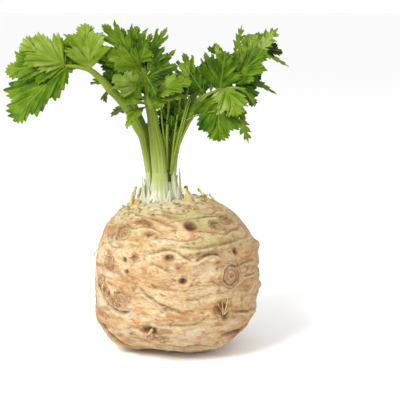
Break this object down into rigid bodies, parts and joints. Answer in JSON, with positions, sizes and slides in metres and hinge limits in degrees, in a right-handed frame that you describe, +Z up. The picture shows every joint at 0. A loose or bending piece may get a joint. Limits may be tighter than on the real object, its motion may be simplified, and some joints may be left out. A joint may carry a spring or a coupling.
{
  "type": "celeriac root",
  "caption": "Swollen knobbly root with a pale crown and leaf stalks that carry toothed leaflets.",
  "frame": {"origin": "centre of the small flat spot under the root that it rests on", "axes": "+Z up through the crown, -Y the side that is seen, +X to the right"},
  "size_m": [0.1981, 0.1256, 0.2321],
  "materials": {
    "root_skin": "matte, knobbly skin, cream with brown scars",
    "sheath": "satin, white to pale green",
    "stalk_green": "satin, ribbed, light green",
    "leaf_green": "satin, veined, mid green"
  },
  "bodies": {
    "root": {"root": "root_skin", "crown": "sheath", "stalk_left": "stalk_green", "leaf_left": "leaf_green", "stalk_centre": "stalk_green", "leaf_centre": "leaf_green", "stalk_right": "stalk_green", "leaf_right": "leaf_green", "stalk_inner": "stalk_green", "leaf_inner": "leaf_green", "stalk_back_left": "stalk_green", "leaf_back_left": "leaf_green", "stalk_back_right": "stalk_green", "leaf_back_right": "leaf_green", "stalk_back": "stalk_green", "leaf_back": "leaf_green"}
  },
  "joints": []
}
